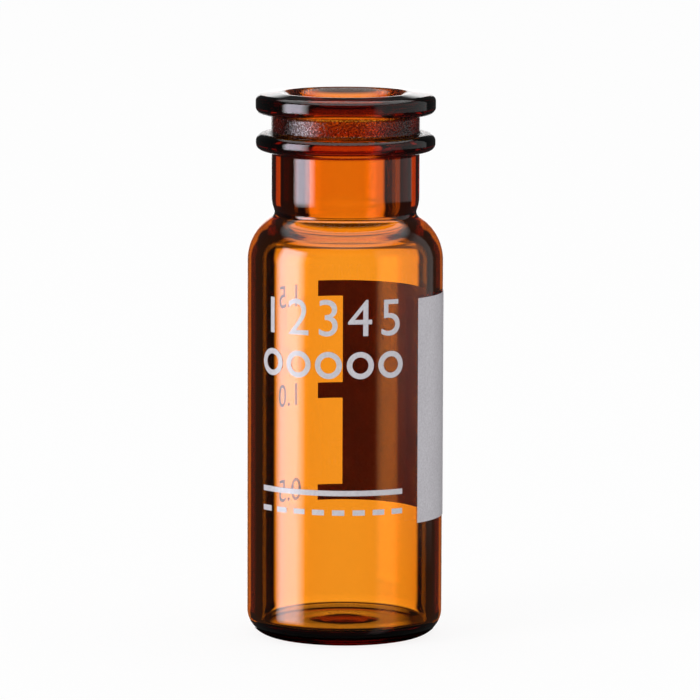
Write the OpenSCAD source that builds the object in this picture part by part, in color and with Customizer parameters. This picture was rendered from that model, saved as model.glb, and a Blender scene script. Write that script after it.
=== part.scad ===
// Amber glass sample vial of the 2 mL size, with a neck finish for crimp and snap caps.
// The vial is one piece of tubing glass: its bottom was melted shut, and its top was rolled down
// into a shoulder, a neck, a locking bead and a lip. Two fields of fired enamel are printed on
// the outside. The axis is Z, the standing ring lies on z = 0 and the front faces -Y. Bearings
// run round from the front, with +X at 90 degrees.

/* [Body] */
// Height from the standing ring to the top of the lip
height = 32.3; // [31:0.1:48]
// Outside diameter of the body
body_d = 11.6; // [11:0.1:13]
// Thickness of the wall
wall = 0.92; // [0.7:0.02:1.2]
// Radius of the rounded heel
heel_r = 1.5; // [0.8:0.05:1.55]
// Height of the floor inside, above the standing ring
floor_z = 1; // [0.8:0.05:1.6]
// Radius where the floor meets the wall
corner_r = 0.25; // [0.1:0.05:0.8]
// Diameter of the low rise in the middle of the floor
rise_d = 4.8; // [3:0.2:6]
// Height of the rise in the middle of the floor
rise_h = 0.2; // [0.05:0.05:0.3]
// Height of the hollow under the bottom
push_up = 0.28; // [0.1:0.02:0.4]
// Diameter of the hollow under the bottom
hollow_d = 7.6; // [6:0.1:7.8]

/* [Shoulder] */
// Outside radius of the rolled shoulder
shoulder_r = 3; // [2.5:0.1:3.5]
// Radius of the crease where the shoulder turns up into the waist
crease_r = 0.35; // [0.2:0.05:0.5]
// Diameter of the waist, the narrowest place outside
waist_d = 8.42; // [8.3:0.02:8.6]
// Radius of the roll from the waist out to the neck
roll_r = 2.2; // [1.5:0.1:3]
// Radius of the dome under the shoulder, inside
dome_r = 1.7; // [1.5:0.1:2]
// Radius where the dome turns up into the bore inside
throat_r = 2.4; // [1.5:0.1:3]

/* [Neck finish] */
// Bore of the neck
bore_d = 6; // [5:0.1:6.4]
// Outside diameter of the neck
neck_d = 8.76; // [8.66:0.02:9]
// Straight height of the neck under the bead
neck_h = 2.7; // [2:0.1:4]
// Diameter of the locking bead
bead_d = 10.64; // [10.4:0.02:11]
// Thickness of the locking bead
bead_t = 1.05; // [0.95:0.05:1.4]
// Radius of the bead's edges
bead_edge_r = 0.45; // [0.2:0.05:0.45]
// Diameter of the groove between the bead and the lip
groove_d = 8.76; // [8.6:0.02:9]
// Height of the groove between the bead and the lip
groove_h = 1.15; // [1:0.05:2]
// Radius left by the forming tool at the roots of the bead and the lip
root_r = 0.2; // [0.05:0.05:0.25]
// Diameter of the lip
lip_d = 10.68; // [10.4:0.02:11]
// Thickness of the lip
lip_t = 1.25; // [1.05:0.05:1.6]
// Radius of the lip's lower edge
lip_low_r = 0.4; // [0.1:0.05:0.45]
// Radius of the lip's upper edge
lip_top_r = 0.4; // [0.1:0.05:0.45]
// How far the lip's top falls away from the mouth to its outer edge
lip_fall = 0.1; // [0:0.05:0.1]
// Radius of the rounded edge of the mouth
mouth_r = 0.9; // [0.5:0.05:1.1]

/* [Writing patch] */
// Thickness of the fired enamel, here and on the front
print_t = 0.03; // [0.02:0.01:0.06]
// Bearing of the patch's front edge
patch_start_angle = 47.5; // [44:0.5:60]
// Angle that the patch covers
patch_sweep_angle = 134; // [90:1:150]
// Height of the lowest graduation, which is the patch's lower edge
patch_z = 7.25; // [5:0.05:8.5]
// Height from one graduation to the next
mark_pitch = 6.18; // [4:0.02:6.6]
// Thickness of a graduation bar
mark_t = 0.94; // [0.5:0.02:1.2]
// Angle that a graduation bar runs on past the patch
mark_sweep_angle = 17; // [8:1:24]

/* [Front print] */
// Bearing of the middle of the front print
front_angle = -9.5; // [-12:0.5:-6]
// Angle that the front print covers
front_sweep_angle = 90; // [84:1:96]
// Number of tick rings
rings = 5; // [3:1:5]
// Height of the middle of the tick rings
ring_z = 16.8; // [13:0.1:19]
// Outside diameter of a tick ring
ring_d = 1.6; // [1.2:0.1:1.7]
// Width of the lines that rings and rules are drawn with
line_w = 0.32; // [0.2:0.02:0.4]
// Height of the whole rule's lower edge
rule_z = 9.1; // [8:0.1:11]
// Height from the broken rule up to the whole one
rule_pitch = 1.15; // [0.6:0.05:2]
// Number of dashes in the broken rule
dashes = 8; // [4:1:12]

/* [Hidden] */
$fn = 96;
GLASS = [0.72, 0.33, 0.04];
ENAMEL = [0.93, 0.92, 0.93];
// Furthest that a chord of the section may lie from its arc
FINE = 0.003;
// Steps of the rise, from its edge to its middle
RISE_STEPS = 10;
// Graduations on the patch
MARKS = 3;
// Share of each dash's pitch that the dash fills
DASH_SHARE = 0.6;
// A cut runs on this far past what it cuts
PAST = 1;

body_r = body_d / 2;
inner_r = body_r - wall;
waist_r = waist_d / 2;
bore_r = bore_d / 2;
neck_r = neck_d / 2;
bead_r = bead_d / 2;
groove_r = groove_d / 2;
lip_r = lip_d / 2;

// The neck finish hangs from the lip, and the body's straight wall takes up the height left over
lip_z = height - lip_t;
groove_z = lip_z - groove_h;
bead_z = groove_z - bead_t;
neck_z = bead_z - neck_h;

// The lip's top is the slope that touches its two rounded edges
brim_x = lip_r - lip_top_r;
brim_z = height - lip_fall - lip_top_r;
mouth_x = bore_r + mouth_r;
mouth_z = height - mouth_r;
top_a = asin((mouth_r - lip_top_r) / norm([brim_x - mouth_x, brim_z - mouth_z]))
    - atan2(brim_z - mouth_z, brim_x - mouth_x);

// Roll, crease and shoulder are arcs that touch, so each centre follows from the one above
roll_x = neck_r - roll_r;
crease_x = waist_r + crease_r;
crease_z = neck_z - leg(roll_r + crease_r, crease_x - roll_x);
roll_a = atan2(neck_z - crease_z, crease_x - roll_x);
shoulder_x = body_r - shoulder_r;
shoulder_z = crease_z - leg(shoulder_r + crease_r, crease_x - shoulder_x);
shoulder_a = atan2(crease_z - shoulder_z, crease_x - shoulder_x);

// Inside, the dome touches the wall at the shoulder's foot, and the throat's arc touches the dome
// and the bore
dome_x = inner_r - dome_r;
throat_x = bore_r + throat_r;
throat_z = shoulder_z + leg(dome_r + throat_r, throat_x - dome_x);
throat_a = atan2(throat_z - shoulder_z, throat_x - dome_x);

// The hollow under the bottom is the cap of a large ball
ball_r = (pow(hollow_d / 2, 2) + pow(push_up, 2)) / (2 * push_up);
ball_a = asin(hollow_d / 2 / ball_r);

patch_h = (MARKS - 1) * mark_pitch + mark_t;
front_start_angle = front_angle - front_sweep_angle / 2;
// Half the angle that a tick ring covers on the body
ring_a = asin(ring_d / 2 / body_r);

// Third side of a right triangle, from its longest side and one other
function leg(long, side) = sqrt(pow(long, 2) - pow(side, 2));

// Points of the arc of radius r about [x, z] that runs from angle a to angle b
function arc(x, z, r, a, b) =
    let (steps = ceil(abs(b - a) / (2 * acos(1 - FINE / r))))
    [for (i = [0 : steps]) let (t = a + (b - a) * i / steps) [x + r * cos(t), z + r * sin(t)]];

// Bottom and outside of the section, from the axis up to the neck
function body_outside() = concat(
    arc(0, push_up - ball_r, ball_r, 90, 90 - ball_a),
    arc(body_r - heel_r, heel_r, heel_r, -90, 0),
    arc(shoulder_x, shoulder_z, shoulder_r, 0, shoulder_a),
    arc(crease_x, crease_z, crease_r, 180 + shoulder_a, 180 - roll_a),
    arc(roll_x, neck_z, roll_r, -roll_a, 0)
);

// Outside of the section from the neck up to the lip, and over it into the mouth
function finish_outside() = concat(
    arc(neck_r + root_r, bead_z - root_r, root_r, 180, 90),
    arc(bead_r - bead_edge_r, bead_z + bead_edge_r, bead_edge_r, -90, 0),
    arc(bead_r - bead_edge_r, groove_z - bead_edge_r, bead_edge_r, 0, 90),
    arc(groove_r + root_r, groove_z + root_r, root_r, 270, 180),
    arc(groove_r + root_r, lip_z - root_r, root_r, 180, 90),
    arc(lip_r - lip_low_r, lip_z + lip_low_r, lip_low_r, -90, 0),
    arc(brim_x, brim_z, lip_top_r, 0, 90 - top_a),
    arc(mouth_x, mouth_z, mouth_r, 90 - top_a, 180)
);

// Points of the rise in the floor, which swells smoothly from its edge up to the axis
function rise() =
    [for (i = [0 : RISE_STEPS])
        [rise_d / 2 * (1 - i / RISE_STEPS), floor_z + rise_h * (1 - cos(180 * i / RISE_STEPS)) / 2]];

// Inside of the section, from the bore down to the axis
function inside() = concat(
    arc(throat_x, throat_z, throat_r, 180, 180 + throat_a),
    arc(dome_x, shoulder_z, dome_r, throat_a, 0),
    arc(inner_r - corner_r, floor_z + corner_r, corner_r, 0, -90),
    rise()
);

// The whole glass body, turned from its section
module vial() {
    color(GLASS) rotate_extrude() polygon(concat(body_outside(), finish_outside(), inside()));
}

// Band of enamel on the body, from bearing a through the angle sweep, with its foot at height z
module band(a, sweep, z, h) {
    rotate([0, 0, a - 90]) rotate_extrude(angle = sweep)
        translate([body_r, z]) square([print_t, h]);
}

// Field of enamel to write on, whose graduations run on past its rear edge as bars
module writing_patch() {
    color(ENAMEL) {
        band(patch_start_angle, patch_sweep_angle, patch_z, patch_h);
        for (i = [0 : MARKS - 1])
            band(patch_start_angle, patch_sweep_angle + mark_sweep_angle, patch_z + i * mark_pitch, mark_t);
    }
}

// One open ring to tick, laid round the body at bearing a
module tick_ring(a) {
    intersection() {
        band(a - 2 * ring_a, 4 * ring_a, ring_z - ring_d, 2 * ring_d);
        rotate([0, 0, a]) translate([0, 0, ring_z]) rotate([90, 0, 0]) difference() {
            cylinder(h = body_d, d = ring_d);
            translate([0, 0, -PAST]) cylinder(h = body_d + 2 * PAST, d = ring_d - 2 * line_w);
        }
    }
}

// Row of tick rings over a whole rule and a broken one
module front_print() {
    ring_pitch = (front_sweep_angle - 2 * ring_a) / (rings - 1);
    dash_pitch = front_sweep_angle / (dashes - 1 + DASH_SHARE);
    color(ENAMEL) {
        for (i = [0 : rings - 1])
            tick_ring(front_start_angle + ring_a + i * ring_pitch);
        band(front_start_angle, front_sweep_angle, rule_z, line_w);
        for (i = [0 : dashes - 1])
            band(front_start_angle + i * dash_pitch, DASH_SHARE * dash_pitch, rule_z - rule_pitch, line_w);
    }
}

vial();
writing_patch();
front_print();
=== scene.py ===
import math

import bpy
from mathutils import Euler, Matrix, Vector


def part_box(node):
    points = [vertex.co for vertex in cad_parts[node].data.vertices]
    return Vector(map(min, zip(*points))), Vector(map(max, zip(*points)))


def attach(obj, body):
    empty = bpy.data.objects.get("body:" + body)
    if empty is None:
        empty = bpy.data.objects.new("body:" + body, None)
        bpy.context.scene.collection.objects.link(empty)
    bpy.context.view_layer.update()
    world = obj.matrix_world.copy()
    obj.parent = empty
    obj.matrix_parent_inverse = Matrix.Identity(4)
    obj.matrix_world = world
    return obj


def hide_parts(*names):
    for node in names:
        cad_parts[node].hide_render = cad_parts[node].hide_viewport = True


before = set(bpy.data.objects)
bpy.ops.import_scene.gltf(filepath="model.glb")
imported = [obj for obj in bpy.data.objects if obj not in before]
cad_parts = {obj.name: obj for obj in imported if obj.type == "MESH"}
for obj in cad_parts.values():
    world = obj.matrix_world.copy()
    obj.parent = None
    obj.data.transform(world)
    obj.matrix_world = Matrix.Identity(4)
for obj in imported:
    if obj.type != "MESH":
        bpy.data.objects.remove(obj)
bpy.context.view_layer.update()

# Amber glass sample vial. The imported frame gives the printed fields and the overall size, and
# the glass is turned here again from the same section as the solid, with finer steps, because
# facets that the solid can carry would show as streaks in clear glass.

MM = 0.001

# Section of the glass in millimetres, as the solid has it
HEEL_R = 1.5
FLOOR_Z = 1.0
CORNER_R = 0.25
RISE_R = 2.4
RISE_H = 0.2
WALL = 0.92
PUSH_UP = 0.28
HOLLOW_R = 3.8
SHOULDER_R = 3.0
CREASE_R = 0.35
WAIST_R = 4.21
ROLL_R = 2.2
THROAT_R = 2.4
DOME_R = 1.7
BORE_R = 3.0
NECK_R = 4.38
NECK_H = 2.7
BEAD_R = 5.32
BEAD_T = 1.05
BEAD_EDGE_R = 0.45
GROOVE_R = 4.38
GROOVE_H = 1.15
ROOT_R = 0.2
LIP_R = 5.34
LIP_T = 1.25
LIP_FALL = 0.1
LIP_LOW_R = 0.4
LIP_TOP_R = 0.4
MOUTH_R = 0.9

glass_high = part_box("vial")[1]
BODY_R = glass_high.x / MM
HEIGHT = glass_high.z / MM

INNER_R = BODY_R - WALL
# The neck finish hangs from the lip
LIP_Z = HEIGHT - LIP_T
GROOVE_Z = LIP_Z - GROOVE_H
BEAD_Z = GROOVE_Z - BEAD_T
NECK_Z = BEAD_Z - NECK_H


def linear(hex_colour):
    """Turns an sRGB hex colour into the linear RGBA that sockets take."""
    values = [int(hex_colour[i:i + 2], 16) / 255 for i in (1, 3, 5)]
    return (*[v / 12.92 if v <= 0.04045 else ((v + 0.055) / 1.055) ** 2.4 for v in values], 1)


WHITE = linear("#ffffff")


def add_node(tree, kind, links=None, **settings):
    """Adds a node with its settings. Links maps each input to a value, a socket or a node, and a
    node there stands for its first output."""
    node = tree.nodes.new(kind)
    for name, value in settings.items():
        setattr(node, name, value)
    for key, value in (links or {}).items():
        if isinstance(value, bpy.types.Node):
            value = value.outputs[0]
        if isinstance(value, bpy.types.NodeSocket):
            tree.links.new(value, node.inputs[key])
        else:
            node.inputs[key].default_value = value
    return node


def new_material(name):
    """An empty node material and its output node."""
    material = bpy.data.materials.new(name)
    material.use_nodes = True
    material.node_tree.nodes.clear()
    return material, add_node(material.node_tree, "ShaderNodeOutputMaterial")


def mesh_object(name, vertices, faces, edges=()):
    """A mesh object at the origin, in the scene."""
    mesh = bpy.data.meshes.new(name)
    mesh.from_pydata(vertices, edges, faces)
    obj = bpy.data.objects.new(name, mesh)
    bpy.context.scene.collection.objects.link(obj)
    return obj


# ---------------------------------------------------------------- camera

# Metres from the aim, degrees above the level, millimetres of lens and degrees of roll
CAMERA_DISTANCE = 0.3605
CAMERA_HEIGHT_ANGLE = 7.3
CAMERA_LENS = 313.0
CAMERA_ROLL = 0.18
CAMERA_AIM = Vector((0.3 * MM, 0, 16.98 * MM))
CAMERA_CLIP = (0.01, 5)


def make_camera():
    """Long lens at the front, a little above the vial's middle."""
    data = bpy.data.cameras.new("camera")
    data.lens = CAMERA_LENS
    data.clip_start, data.clip_end = CAMERA_CLIP
    camera = bpy.data.objects.new("camera", data)
    tilt = math.radians(CAMERA_HEIGHT_ANGLE)
    aimed = Euler((math.pi / 2 - tilt, 0, 0)).to_quaternion()
    rolled = Euler((0, 0, math.radians(CAMERA_ROLL))).to_quaternion()
    camera.location = CAMERA_AIM + CAMERA_DISTANCE * Vector((0, -math.cos(tilt), math.sin(tilt)))
    camera.rotation_mode = "QUATERNION"
    camera.rotation_quaternion = aimed @ rolled
    bpy.context.scene.collection.objects.link(camera)
    bpy.context.scene.camera = camera


# ---------------------------------------------------------------- studio

def soft_window(tree, value, start, full, fade, end):
    """1 where value lies between full and fade, with straight ramps down to 0 at start and end."""
    rise = add_node(tree, "ShaderNodeMapRange", {0: value, 1: start, 2: full})
    fall = add_node(tree, "ShaderNodeMapRange", {0: value, 1: fade, 2: end, 3: 1.0, 4: 0.0})
    return add_node(tree, "ShaderNodeMath", {0: rise, 1: fall}, operation="MULTIPLY")


# All angles are in degrees. Bearings run from the camera's side towards the right, and heights
# above the level. Each range gives where it starts, is full, fades and ends.
# Each panel: the level that glass and enamel mirror there, its bearings and its heights.
KEY_SOFTBOX = (8.9, (-89, -80.5, -59.5, -47), (-21, -6.5, 26, 30))
FILL_CARD = (0.45, (35, 42, 124, 128), (-9.4, -7.2, 30, 40))
LOW_CARD = (0.22, (35, 42, 58, 68), (-60, -50, -9.4, -7.2))
# The sheet behind the vial, which lights its rims and its floor. Its bearings run from the rear.
REAR_SHEET = (1.4, (-17, -12, 7, 12), (-30, -20, 9, 12))
# The card overhead, which lights the shoulder and the lip. Its bearings count to either side of
# the front, and take in the whole round.
CEILING_CARD = (1.6, (-2, -1, 181, 182), (38, 46, 91, 92))
ROOM_LEVEL = 0.04
SOFTBOX_TINT = "#f6efff"
# What matte surfaces get from all round
MATTE_LEVEL = 0.6
# Black strips beside the rear sheet, which draw the dark edges of clear glass
LEFT_FLAG = (-167, -165, -132, -130)
RIGHT_FLAG = (130, 132, 162, 165)
FLAG_HEIGHTS = (-40, -34, 40, 50)
# What clear glass shows: the level of the wall behind, the share of it that is left in the dark
# gap over it, and that gap's heights
SEEN_LEVEL = 1.7
SEEN_GAP = (0.15, (10.5, 13.5, 18, 22))
# Two steps by which the wall falls away to dark below: low end, high end and the share left under it
SEEN_FOOT = ((-10.5, -6.5, 0.93), (-18, -11.5, 0.06))
# The bright table that steep rays reach, so that the vial is amber from above too: its level, and
# the heights at which it is full and gone
SEEN_TABLE = (1.3, (-35, -28))

# The table's own colour, its glow and the share of the glow, and half its width in metres
TABLE_COLOUR = "#e8e8e8"
TABLE_GLOW = 1.1
TABLE_GLOW_SHARE = 0.8
TABLE_HALF = 1.5
# The shaded spot, in millimetres
SHADE_COLOUR = "#1c1614"
SHADE_R = 5.6
SHADE_SIDES = 64
# The shaded spot lies this far under the table's face, so that the two faces stay apart
SHADE_DROP = 0.01
# The lamp's place, aim and width in metres, and its power in watts
LAMP_PLACE = Vector((-0.6, -0.5, 0.35))
LAMP_AIM = Vector((0, 0, 0.016))
LAMP_SIZE = 0.5
LAMP_WATTS = 1.6


def bearing_towards(tree, side, ahead):
    """Bearing in degrees of a direction, counted from ahead and positive towards side."""
    turn = add_node(tree, "ShaderNodeMath", {0: side, 1: ahead}, operation="ARCTAN2")
    return add_node(tree, "ShaderNodeMath", {0: turn}, operation="DEGREES")


def mirrored_room(tree, bearing, off_front, off_rear, height):
    """Level of what mirrored rays find, which is the panels in a dim room, and the softbox's own share."""
    level, shares = ROOM_LEVEL, []
    for (panel_level, bearings, heights), angle in (
            (KEY_SOFTBOX, bearing), (FILL_CARD, bearing), (LOW_CARD, bearing),
            (REAR_SHEET, off_rear), (CEILING_CARD, off_front)):
        wide = soft_window(tree, angle, *bearings)
        tall = soft_window(tree, height, *heights)
        share = add_node(tree, "ShaderNodeMath", {0: wide, 1: tall}, operation="MULTIPLY")
        shares.append(share)
        level = add_node(tree, "ShaderNodeMath", {0: share, 1: panel_level, 2: level},
                         operation="MULTIPLY_ADD")
    return level, shares[0]


def seen_room(tree, bearing, height):
    """Level of what rays straight through the glass find: flags, bright wall, dark gap and table."""
    left = soft_window(tree, bearing, *LEFT_FLAG)
    right = soft_window(tree, bearing, *RIGHT_FLAG)
    wide = add_node(tree, "ShaderNodeMath", {0: left, 1: right}, operation="ADD")
    tall = soft_window(tree, height, *FLAG_HEIGHTS)
    flags = add_node(tree, "ShaderNodeMath", {0: wide, 1: tall}, operation="MULTIPLY")
    level = add_node(tree, "ShaderNodeMapRange", {0: flags, 3: SEEN_LEVEL, 4: 0.0})
    share_left, gap_heights = SEEN_GAP
    gap = soft_window(tree, height, *gap_heights)
    steps = [add_node(tree, "ShaderNodeMapRange", {0: gap, 3: 1.0, 4: share_left})]
    for low, high, share_left in SEEN_FOOT:
        steps.append(add_node(tree, "ShaderNodeMapRange", {
            0: height, 1: low, 2: high, 3: share_left, 4: 1.0}))
    for step in steps:
        level = add_node(tree, "ShaderNodeMath", {0: level, 1: step}, operation="MULTIPLY")
    table_level, (full, gone) = SEEN_TABLE
    table = add_node(tree, "ShaderNodeMapRange", {0: height, 1: full, 2: gone, 3: table_level, 4: 0.0})
    return add_node(tree, "ShaderNodeMath", {0: level, 1: table}, operation="ADD")


def make_world():
    """Plain white room. Mirrored rays find only the panels in it, and see-through rays the flags."""
    world = bpy.data.worlds.new("studio")
    bpy.context.scene.world = world
    world.use_nodes = True
    world.cycles.sampling_method = "NONE"
    tree = world.node_tree
    tree.nodes.clear()
    ray = add_node(tree, "ShaderNodeTexCoord").outputs["Generated"]
    axis = add_node(tree, "ShaderNodeSeparateXYZ", {0: ray}).outputs
    front = add_node(tree, "ShaderNodeMath", {0: axis["Y"], 1: -1.0}, operation="MULTIPLY")
    bearing = bearing_towards(tree, axis["X"], front)
    off_rear = bearing_towards(tree, axis["X"], axis["Y"])
    off_front = add_node(tree, "ShaderNodeMath", {0: bearing}, operation="ABSOLUTE")
    rise = add_node(tree, "ShaderNodeMath", {0: axis["Z"]}, operation="ARCSINE")
    height = add_node(tree, "ShaderNodeMath", {0: rise}, operation="DEGREES")
    mirrored, softbox = mirrored_room(tree, bearing, off_front, off_rear, height)
    seen = seen_room(tree, bearing, height)

    # a ray that the glass has mirrored once stays a mirrored ray, also when it leaves through a wall
    path = add_node(tree, "ShaderNodeLightPath").outputs
    unturned = add_node(tree, "ShaderNodeMath", {0: path["Glossy Depth"], 1: 0.5}, operation="LESS_THAN")
    direct = add_node(tree, "ShaderNodeMath", {0: unturned, 1: path["Is Transmission Ray"]},
                      operation="MULTIPLY")
    level = mirrored
    for ray_share, found in ((direct, seen), (path["Is Diffuse Ray"], MATTE_LEVEL),
                             (path["Is Camera Ray"], 1.0)):
        level = add_node(tree, "ShaderNodeMix", {0: ray_share, 2: level, 3: found}, data_type="FLOAT")
    bounced = add_node(tree, "ShaderNodeMath", {0: 1.0, 1: path["Is Camera Ray"]}, operation="SUBTRACT")
    tinted = add_node(tree, "ShaderNodeMath", {0: bounced, 1: softbox}, operation="MULTIPLY")
    colour = add_node(tree, "ShaderNodeMixRGB", {0: tinted, 1: WHITE, 2: linear(SOFTBOX_TINT)})
    back = add_node(tree, "ShaderNodeBackground", {"Color": colour, "Strength": level})
    add_node(tree, "ShaderNodeOutputWorld", {"Surface": back})


def make_floor():
    """White table that only the camera sees. It is matte enough to hold the vial's shadow, and bright
    enough to join the white room."""
    material, out = new_material("white_table")
    tree = material.node_tree
    matte = add_node(tree, "ShaderNodeBsdfDiffuse", {"Color": linear(TABLE_COLOUR)})
    lit = add_node(tree, "ShaderNodeEmission", {"Color": WHITE, "Strength": TABLE_GLOW})
    mix = add_node(tree, "ShaderNodeMixShader", {0: TABLE_GLOW_SHARE, 1: matte, 2: lit})
    tree.links.new(mix.outputs[0], out.inputs["Surface"])
    material.cycles.emission_sampling = "NONE"
    corners = [(x * TABLE_HALF, y * TABLE_HALF, 0) for x, y in ((-1, -1), (1, -1), (1, 1), (-1, 1))]
    floor = mesh_object("floor", corners, [(0, 1, 2, 3)])
    floor.data.materials.append(material)
    floor.visible_glossy = floor.visible_transmission = floor.visible_diffuse = False


def make_shade():
    """Dark spot under the vial, where it shades the table from itself. The camera doesn't see it, and
    rays that pass through the glass or are mirrored do."""
    material, out = new_material("shaded_table")
    dark = add_node(material.node_tree, "ShaderNodeBsdfDiffuse", {"Color": linear(SHADE_COLOUR)})
    material.node_tree.links.new(dark.outputs[0], out.inputs["Surface"])
    turns = [math.tau * i / SHADE_SIDES for i in range(SHADE_SIDES)]
    ring = [(SHADE_R * MM * math.cos(t), SHADE_R * MM * math.sin(t), -SHADE_DROP * MM) for t in turns]
    spot = mesh_object("shaded_table", ring, [tuple(range(SHADE_SIDES))])
    spot.data.materials.append(material)
    spot.visible_camera = spot.visible_diffuse = spot.visible_shadow = False


def make_lamp():
    """Soft lamp on the left, which gives matte surfaces the direction of the softbox."""
    data = bpy.data.lights.new("key_lamp", "AREA")
    data.shape = "DISK"
    data.size = LAMP_SIZE
    data.energy = LAMP_WATTS
    lamp = bpy.data.objects.new("key_lamp", data)
    lamp.location = LAMP_PLACE
    lamp.rotation_euler = (LAMP_AIM - LAMP_PLACE).to_track_quat("-Z", "Y").to_euler()
    lamp.visible_camera = lamp.visible_glossy = lamp.visible_transmission = False
    bpy.context.scene.collection.objects.link(lamp)


# ---------------------------------------------------------------- glass

# Steps of the low rise in the floor, from its edge to the axis, and facets round the axis
RISE_STEPS = 16
SEGMENTS = 288
# In millimetres: two points of the section less than SAME_POINT apart are one, a straight stretch
# longer than LONG_RUN gets a point HOLD from each end, and the turned skin is joined within WELD
SAME_POINT = 1e-5
LONG_RUN = 0.3
HOLD = 0.04
WELD = 0.001

# Heights in millimetres over which the groove is pitted, the bead and lip's underside get a darker,
# redder tint of painted shade, and the side of the lip gets the darkest painted shade. Each starts, is
# full, fades and ends.
PITTED_BAND = (GROOVE_Z - 0.08, GROOVE_Z + 0.05, LIP_Z + 0.08, LIP_Z + 0.16)
BEAD_SHADE_BAND = (BEAD_Z - 0.3, BEAD_Z - 0.1, LIP_Z + 0.15, LIP_Z + 0.25)
LIP_SHADE_BAND = (LIP_Z + 0.3, LIP_Z + 0.42, LIP_Z + 1, LIP_Z + 1.15)
# The bands reach in to this radius only, which leaves the bore clear
BAND_IN_R = GROOVE_R - 0.1
# Tints of painted shade: darker and redder on the bead and the lip's underside, darkest on the lip's side
BEAD_SHADE_TINT = "#bc7094"
LIP_SHADE_TINT = "#4a1e2e"
# Pits of the groove: width and depth in millimetres, and how blunt the dark ones are. They are drawn
# a little coarser than real, because finer ones don't show. SPECKS is the range of the grain over which
# a pit's tint turns from dark to bright, and the bright tint is a painted glint.
PIT_SIZE = 0.11
PIT_DEPTH = 0.03
PIT_ROUGHNESS = 0.3
SPECKS = (0.44, 0.6)
SPECK_DARK = "#6c3424"
GLINT_SPECK = "#ffd8a8"
GLASS_IOR = 1.52
AMBER = "#f4d527"
# Each metre of glass takes out this much, times what the amber colour lacks of white
AMBER_DENSITY = 2600.0


def arc(x, z, r, a, b, step=5.0):
    """Points of the arc of radius r about (x, z) from angle a to angle b, in degrees."""
    count = max(2, math.ceil(abs(b - a) / step))
    angles = [math.radians(a + (b - a) * i / count) for i in range(count + 1)]
    return [(x + r * math.cos(t), z + r * math.sin(t)) for t in angles]


def leg(long, side):
    """Third side of a right triangle, from its longest side and one other."""
    return math.sqrt(long ** 2 - side ** 2)


def section():
    """Half-section of the glass in millimetres, from the axis under the bottom round to the axis inside."""
    ball_r = (HOLLOW_R ** 2 + PUSH_UP ** 2) / (2 * PUSH_UP)
    ball_a = math.degrees(math.asin(HOLLOW_R / ball_r))

    roll_x, crease_x = NECK_R - ROLL_R, WAIST_R + CREASE_R
    crease_z = NECK_Z - leg(ROLL_R + CREASE_R, crease_x - roll_x)
    roll_a = math.degrees(math.atan2(NECK_Z - crease_z, crease_x - roll_x))
    shoulder_x = BODY_R - SHOULDER_R
    shoulder_z = crease_z - leg(SHOULDER_R + CREASE_R, crease_x - shoulder_x)
    shoulder_a = math.degrees(math.atan2(crease_z - shoulder_z, crease_x - shoulder_x))

    brim_x, brim_z = LIP_R - LIP_TOP_R, HEIGHT - LIP_FALL - LIP_TOP_R
    mouth_x, mouth_z = BORE_R + MOUTH_R, HEIGHT - MOUTH_R
    run, climb = brim_x - mouth_x, brim_z - mouth_z
    lean = math.asin((MOUTH_R - LIP_TOP_R) / math.hypot(run, climb))
    top_a = math.degrees(lean - math.atan2(climb, run))

    dome_x, throat_x = INNER_R - DOME_R, BORE_R + THROAT_R
    throat_z = shoulder_z + leg(DOME_R + THROAT_R, throat_x - dome_x)
    throat_a = math.degrees(math.atan2(throat_z - shoulder_z, throat_x - dome_x))

    swell = [i / RISE_STEPS for i in range(RISE_STEPS + 1)]
    rise = [(RISE_R * (1 - t), FLOOR_Z + RISE_H * (1 - math.cos(math.pi * t)) / 2) for t in swell]
    return (
        arc(0, PUSH_UP - ball_r, ball_r, 90, 90 - ball_a, step=0.8)
        + arc(BODY_R - HEEL_R, HEEL_R, HEEL_R, -90, 0)
        + arc(shoulder_x, shoulder_z, SHOULDER_R, 0, shoulder_a, step=4)
        + arc(crease_x, crease_z, CREASE_R, 180 + shoulder_a, 180 - roll_a, step=8)
        + arc(roll_x, NECK_Z, ROLL_R, -roll_a, 0, step=4)
        + arc(NECK_R + ROOT_R, BEAD_Z - ROOT_R, ROOT_R, 180, 90, step=15)
        + arc(BEAD_R - BEAD_EDGE_R, BEAD_Z + BEAD_EDGE_R, BEAD_EDGE_R, -90, 0, step=7)
        + arc(BEAD_R - BEAD_EDGE_R, GROOVE_Z - BEAD_EDGE_R, BEAD_EDGE_R, 0, 90, step=7)
        + arc(GROOVE_R + ROOT_R, GROOVE_Z + ROOT_R, ROOT_R, 270, 180, step=15)
        + arc(GROOVE_R + ROOT_R, LIP_Z - ROOT_R, ROOT_R, 180, 90, step=15)
        + arc(LIP_R - LIP_LOW_R, LIP_Z + LIP_LOW_R, LIP_LOW_R, -90, 0, step=7)
        + arc(brim_x, brim_z, LIP_TOP_R, 0, 90 - top_a, step=7)
        + arc(mouth_x, mouth_z, MOUTH_R, 90 - top_a, 180)
        + arc(throat_x, throat_z, THROAT_R, 180, 180 + throat_a, step=6)
        + arc(dome_x, shoulder_z, DOME_R, throat_a, 0, step=4)
        + arc(INNER_R - CORNER_R, FLOOR_Z + CORNER_R, CORNER_R, 0, -90, step=8)
        + rise
    )


def with_holds(points):
    """The points without doubles, and with one more just inside each end of every long stretch."""
    out = [points[0]]
    for (x0, z0), (x1, z1) in zip(points, points[1:]):
        length = math.hypot(x1 - x0, z1 - z0)
        if length < SAME_POINT:
            continue
        if length > LONG_RUN:
            for t in (HOLD / length, 1 - HOLD / length):
                out.append((x0 + (x1 - x0) * t, z0 + (z1 - z0) * t))
        out.append((x1, z1))
    return out


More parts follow.
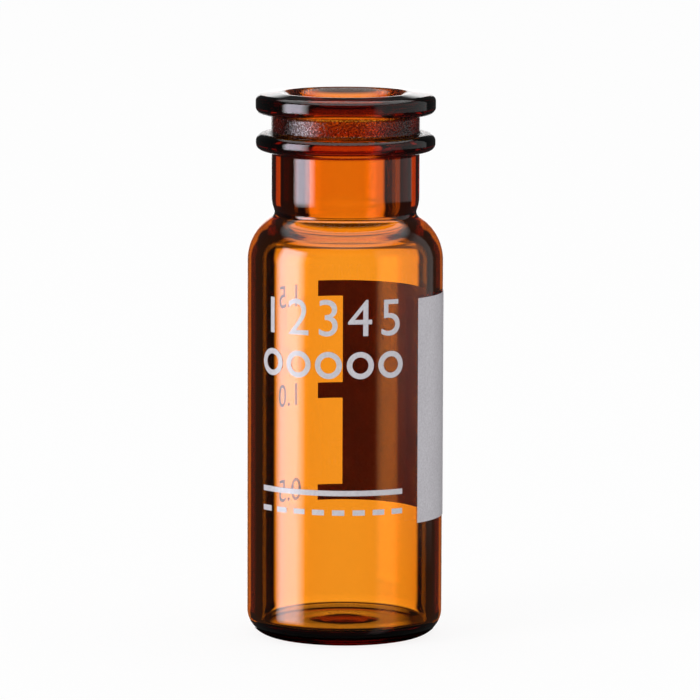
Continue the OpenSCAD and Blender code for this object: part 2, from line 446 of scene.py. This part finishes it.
def new_shape_tree(name, inputs, output):
    """A Geometry Nodes tree with named inputs and one geometry output, and its inputs' sockets."""
    tree = bpy.data.node_groups.new(name, "GeometryNodeTree")
    for socket, kind in inputs.items():
        tree.interface.new_socket(socket, in_out="INPUT", socket_type="NodeSocket" + kind)
    tree.interface.new_socket(output, in_out="OUTPUT", socket_type="NodeSocketGeometry")
    return tree, add_node(tree, "NodeGroupInput").outputs


def finish_tree(tree, shape, material):
    """Ends a shape's tree: instances made real, and the material set."""
    shape = add_node(tree, "GeometryNodeRealizeInstances", {"Geometry": shape})
    shape = add_node(tree, "GeometryNodeSetMaterial", {"Geometry": shape, "Material": material})
    add_node(tree, "NodeGroupOutput", {0: shape})


def lathe_tree():
    """Geometry Nodes: turns the points of a section, x out and z up, round the z axis into a closed skin."""
    tree, source = new_shape_tree(
        "lathe", {"Section": "Geometry", "Segments": "Int", "Material": "Material"}, "Turned")
    size = add_node(tree, "GeometryNodeAttributeDomainSize", {"Geometry": source["Section"]})
    columns = add_node(tree, "ShaderNodeMath", {0: source["Segments"], 1: 1.0}, operation="ADD")
    grid = add_node(tree, "GeometryNodeMeshGrid", {
        "Vertices X": size.outputs["Point Count"], "Vertices Y": columns})
    index = add_node(tree, "GeometryNodeInputIndex")
    row = add_node(tree, "ShaderNodeMath", {0: index, 1: columns}, operation="DIVIDE")
    row = add_node(tree, "ShaderNodeMath", {0: row}, operation="FLOOR")
    column = add_node(tree, "ShaderNodeMath", {0: index, 1: columns}, operation="MODULO")
    turn = add_node(tree, "ShaderNodeMath", {0: column, 1: source["Segments"]}, operation="DIVIDE")
    turn = add_node(tree, "ShaderNodeMath", {0: turn, 1: -math.tau}, operation="MULTIPLY")
    place = add_node(tree, "GeometryNodeInputPosition")
    point = add_node(tree, "GeometryNodeSampleIndex", {
        "Geometry": source["Section"], "Value": place, "Index": row}, data_type="FLOAT_VECTOR")
    turned = add_node(tree, "ShaderNodeVectorRotate", {
        "Vector": point.outputs["Value"], "Angle": turn}, rotation_type="Z_AXIS")
    skin = add_node(tree, "GeometryNodeSetPosition", {"Geometry": grid, "Position": turned})
    skin = add_node(tree, "GeometryNodeMergeByDistance", {"Geometry": skin, "Distance": WELD * MM})
    skin = add_node(tree, "GeometryNodeSetShadeSmooth", {"Geometry": skin})
    finish_tree(tree, skin, source["Material"])
    return tree


def grown(obj, name, tree, **inputs):
    """The plain mesh object that a node tree makes of obj. The seed object is removed."""
    modifier = obj.modifiers.new("shape", "NODES")
    modifier.node_group = tree
    for item in tree.interface.items_tree:
        if item.item_type == "SOCKET" and item.in_out == "INPUT" and item.name in inputs:
            modifier[item.identifier] = inputs[item.name]
    graph = bpy.context.evaluated_depsgraph_get()
    mesh = bpy.data.meshes.new_from_object(obj.evaluated_get(graph))
    mesh.name = name
    bpy.data.objects.remove(obj)
    made = bpy.data.objects.new(name, mesh)
    bpy.context.scene.collection.objects.link(made)
    return made


def amber_glass():
    """Amber borosilicate tubing, drawn and fire polished: clear and glossy, with its colour held in
    its depth, so that it is orange across the wall and near black along it."""
    material, out = new_material("amber_tubing_glass")
    tree = material.node_tree
    place = add_node(tree, "ShaderNodeTexCoord").outputs["Object"]
    height = add_node(tree, "ShaderNodeSeparateXYZ", {0: place}).outputs["Z"]
    flat = add_node(tree, "ShaderNodeVectorMath", {0: place, 1: (1, 1, 0)}, operation="MULTIPLY")
    radius = add_node(tree, "ShaderNodeVectorMath", {0: flat}, operation="LENGTH").outputs["Value"]
    outside = add_node(tree, "ShaderNodeMath", {0: radius, 1: BAND_IN_R * MM}, operation="GREATER_THAN")
    pitted, bead_shade, lip = [
        add_node(tree, "ShaderNodeMath", {
            0: outside, 1: soft_window(tree, height, *[z * MM for z in band])}, operation="MULTIPLY")
        for band in (PITTED_BAND, BEAD_SHADE_BAND, LIP_SHADE_BAND)]

    # the forming wheel leaves the groove between bead and lip pitted, which makes it sparkle, and bright
    # specks of painted glint in its tint add to that sparkle
    grain = add_node(tree, "ShaderNodeTexNoise", {
        "Vector": place, "Scale": 1 / (PIT_SIZE * MM), "Detail": 1.0, "Roughness": 0.5})
    pits = add_node(tree, "ShaderNodeBump", {
        "Strength": pitted, "Distance": PIT_DEPTH * MM, "Height": grain})
    specks = add_node(tree, "ShaderNodeMapRange", {0: grain, 1: SPECKS[0], 2: SPECKS[1]})
    pits_and_glints = add_node(tree, "ShaderNodeMixRGB", {
        0: specks, 1: linear(SPECK_DARK), 2: linear(GLINT_SPECK)})
    blunt = add_node(tree, "ShaderNodeMapRange", {0: specks, 3: PIT_ROUGHNESS, 4: 0.0})
    blunt = add_node(tree, "ShaderNodeMath", {0: pitted, 1: blunt}, operation="MULTIPLY")

    # painted shade: the glass is tinted darker and redder over the bead and the lip's underside, and darkest
    # on the lip's side; the groove takes its speckled tint
    tint = WHITE
    for share, colour in ((bead_shade, linear(BEAD_SHADE_TINT)), (lip, linear(LIP_SHADE_TINT)), (pitted, pits_and_glints)):
        tint = add_node(tree, "ShaderNodeMixRGB", {0: share, 1: tint, 2: colour})
    surface = add_node(tree, "ShaderNodeBsdfPrincipled", {
        "Base Color": tint, "Roughness": blunt, "IOR": GLASS_IOR,
        "Transmission Weight": 1.0, "Normal": pits})
    # the depth takes out blue most, a third as much green and a tenth as much red
    depth = add_node(tree, "ShaderNodeVolumeAbsorption", {
        "Color": linear(AMBER), "Density": AMBER_DENSITY})
    tree.links.new(surface.outputs[0], out.inputs["Surface"])
    tree.links.new(depth.outputs[0], out.inputs["Volume"])
    return material


def make_glass():
    """The whole glass body, turned from its section, in the place of the solid."""
    points = [(x * MM, 0, z * MM) for x, z in with_holds(section())]
    seed = mesh_object("section", points, [], [(i, i + 1) for i in range(len(points) - 1)])
    glass = grown(seed, "glass_body", lathe_tree(), Segments=SEGMENTS, Material=amber_glass())
    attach(glass, "root")
    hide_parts("vial")


# ---------------------------------------------------------------- enamel

# The row on the front stands over the five tick rings
TICKS = 5
FIRST_TICK_BEARING = -46.6
TICK_STEP = 18.55
# Each label: its text, the bearing and the height of its middle, and the height of its digits.
# Bearings are in degrees round from the front, and heights in millimetres.
FRONT_NUMERALS = [
    (str(i + 1), FIRST_TICK_BEARING + TICK_STEP * i, 19.45, 2.15) for i in range(TICKS)]
GRADUATIONS = [(text, 222.5, z, 1.35) for text, z in (("0.5", 7.95), ("1.0", 13.7), ("1.5", 19.65))]
# Share of the type size that a digit's height takes, and how often the type is cut to bend smoothly
DIGIT_SHARE = 0.7
TYPE_CUTS = 2
# In millimetres: how far the numerals reach into the glass and out of it, and how close their
# points are joined
PRINT_SUNK = 0.005
PRINT_T = 0.025
PRINT_WELD = 0.0005

# Grain of the fired frit with its relief, and the wider swell of the screened film, in millimetres
FRIT_SIZE = 0.12
FRIT_RELIEF = 0.01
SWELL_SIZE = 1.6
# Share of the swell in the film's pattern, and the range of the pattern from thin film to full. The
# film is a little darker where it is thin.
SWELL_SHARE = 0.3
FILM_RANGE = (0.45, 0.85)
FILM_THIN = "#d6d2d8"
FILM_FULL = "#ebe8ee"
ENAMEL_ROUGHNESS = 0.25
ENAMEL_IOR = 1.5


def enamel():
    """White enamel, screen printed and fired on: a satin film, a little uneven in thickness."""
    material, out = new_material("fired_white_enamel")
    tree = material.node_tree
    place = add_node(tree, "ShaderNodeTexCoord").outputs["Object"]
    grain = add_node(tree, "ShaderNodeTexNoise", {
        "Vector": place, "Scale": 1 / (FRIT_SIZE * MM), "Detail": 3.0, "Roughness": 0.6})
    swell = add_node(tree, "ShaderNodeTexNoise", {
        "Vector": place, "Scale": 1 / (SWELL_SIZE * MM), "Detail": 2.0, "Roughness": 0.5})
    film = add_node(tree, "ShaderNodeMath", {0: swell, 1: SWELL_SHARE, 2: grain}, operation="MULTIPLY_ADD")
    film = add_node(tree, "ShaderNodeMapRange", {0: film, 1: FILM_RANGE[0], 2: FILM_RANGE[1]})
    colour = add_node(tree, "ShaderNodeMixRGB", {0: film, 1: linear(FILM_THIN), 2: linear(FILM_FULL)})
    relief = add_node(tree, "ShaderNodeBump", {
        "Strength": 0.5, "Distance": FRIT_RELIEF * MM, "Height": grain})
    surface = add_node(tree, "ShaderNodeBsdfPrincipled", {
        "Base Color": colour, "Roughness": ENAMEL_ROUGHNESS, "IOR": ENAMEL_IOR, "Normal": relief})
    tree.links.new(surface.outputs[0], out.inputs["Surface"])
    return material


def numerals_tree(labels):
    """Geometry Nodes: sets each label in type, bends it round the body and raises it to a thin solid."""
    tree, source = new_shape_tree("printed_numerals", {
        "Seed": "Geometry", "Radius": "Float", "Thickness": "Float", "Material": "Material"}, "Printed")
    place = add_node(tree, "GeometryNodeInputPosition")
    flat = add_node(tree, "ShaderNodeSeparateXYZ", {0: place}).outputs
    along = add_node(tree, "ShaderNodeMath", {0: flat["X"], 1: source["Radius"]}, operation="DIVIDE")
    front = add_node(tree, "ShaderNodeMath", {0: source["Radius"], 1: -1.0}, operation="MULTIPLY")
    sheets = add_node(tree, "GeometryNodeJoinGeometry")
    for text, bearing, height, size in labels:
        type_size = size * MM / DIGIT_SHARE
        curves = add_node(tree, "GeometryNodeStringToCurves", {"String": text, "Size": type_size},
                          align_x="CENTER", align_y="MIDDLE")
        curves = add_node(tree, "GeometryNodeRealizeInstances", {0: curves})
        sheet = add_node(tree, "GeometryNodeFillCurve", {"Curve": curves})
        sheet = add_node(tree, "GeometryNodeSubdivideMesh", {"Mesh": sheet, "Level": TYPE_CUTS})
        up = add_node(tree, "ShaderNodeMath", {0: flat["Y"], 1: height * MM}, operation="ADD")
        turn = add_node(tree, "ShaderNodeMath", {0: along, 1: math.radians(bearing)}, operation="ADD")
        bent = add_node(tree, "ShaderNodeCombineXYZ", {1: front, 2: up})
        bent = add_node(tree, "ShaderNodeVectorRotate", {"Vector": bent, "Angle": turn},
                        rotation_type="Z_AXIS")
        sheet = add_node(tree, "GeometryNodeSetPosition", {"Geometry": sheet, "Position": bent})
        tree.links.new(sheet.outputs[0], sheets.inputs[0])
    outward = add_node(tree, "ShaderNodeVectorMath", {0: place, 1: (1, 1, 0)}, operation="MULTIPLY")
    outward = add_node(tree, "ShaderNodeVectorMath", {0: outward}, operation="NORMALIZE")
    raised = add_node(tree, "GeometryNodeExtrudeMesh", {
        "Mesh": sheets, "Offset": outward, "Offset Scale": source["Thickness"], "Individual": False})
    under = add_node(tree, "GeometryNodeFlipFaces", {"Mesh": sheets})
    solid = add_node(tree, "GeometryNodeJoinGeometry", {0: raised})
    tree.links.new(under.outputs[0], solid.inputs[0])
    solid = add_node(tree, "GeometryNodeMergeByDistance", {"Geometry": solid, "Distance": PRINT_WELD * MM})
    finish_tree(tree, solid, source["Material"])
    return tree


def make_prints():
    """The solid's printed fields in their finish, and the numerals beside them."""
    finish = enamel()
    for name in ("writing_patch", "front_print"):
        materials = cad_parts[name].data.materials
        materials.clear()
        materials.append(finish)
    for name, labels in (("front_numerals", FRONT_NUMERALS), ("graduation_numerals", GRADUATIONS)):
        seed = mesh_object("seed", [], [])
        numerals = grown(seed, name, numerals_tree(labels), Radius=(BODY_R - PRINT_SUNK) * MM,
                         Thickness=(PRINT_SUNK + PRINT_T) * MM, Material=finish)
        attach(numerals, "root")


make_camera()
make_world()
make_floor()
make_shade()
make_lamp()
make_glass()
make_prints()

scene = bpy.context.scene
scene.view_settings.view_transform = "Standard"
# Light goes through both walls and back and forth inside their edges, so its rays may bounce often
scene.cycles.max_bounces = 24
scene.cycles.transmission_bounces = 24
scene.cycles.glossy_bounces = 16
